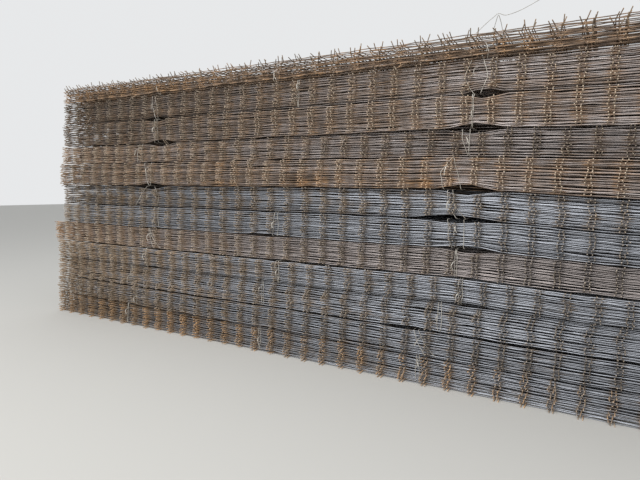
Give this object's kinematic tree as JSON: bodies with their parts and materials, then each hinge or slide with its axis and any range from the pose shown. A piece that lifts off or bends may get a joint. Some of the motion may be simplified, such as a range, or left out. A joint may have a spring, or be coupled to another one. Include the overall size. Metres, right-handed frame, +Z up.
{
  "type": "stack of tied bundles of welded reinforcing mesh",
  "caption": "Tall stack of tied bundles of flat welded steel reinforcing mesh sheets, with rusty cut wire ends in columns along the sides, sling gaps and binding wires.",
  "frame": {"origin": "middle of the stack's foot, on the ground, at the centre of the overall length and width", "axes": "+X along the stack and its long wires, +Y across it along the cross wires, +Z up; the side in the picture faces -Y"},
  "size_m": [6.236, 2.26, 2.3097],
  "materials": {
    "mesh_brown": "rusted",
    "mesh_grey": "weathered",
    "binding_wire": "annealed"
  },
  "bodies": {
    "root": {"bundle_01": "mesh_grey", "bundle_02": "mesh_grey", "bundle_03": "mesh_grey", "bundle_04": "mesh_grey", "bundle_05": "mesh_brown", "bundle_06": "mesh_grey", "bundle_07": "mesh_grey", "bundle_08": "mesh_brown", "bundle_09": "mesh_brown", "bundle_10": "mesh_brown", "bundle_11": "mesh_brown", "bundle_12": "mesh_brown", "top_sheet_left": "mesh_brown", "top_sheet_right": "mesh_brown", "binding_wires_01": "binding_wire", "binding_wires_02": "binding_wire", "binding_wires_03": "binding_wire", "binding_wires_04": "binding_wire", "binding_wires_05": "binding_wire", "binding_wires_06": "binding_wire", "binding_wires_07": "binding_wire", "binding_wires_08": "binding_wire", "binding_wires_09": "binding_wire", "binding_wires_10": "binding_wire", "binding_wires_11": "binding_wire", "binding_wires_12": "binding_wire", "loose_tie_wire": "binding_wire"}
  },
  "joints": []
}
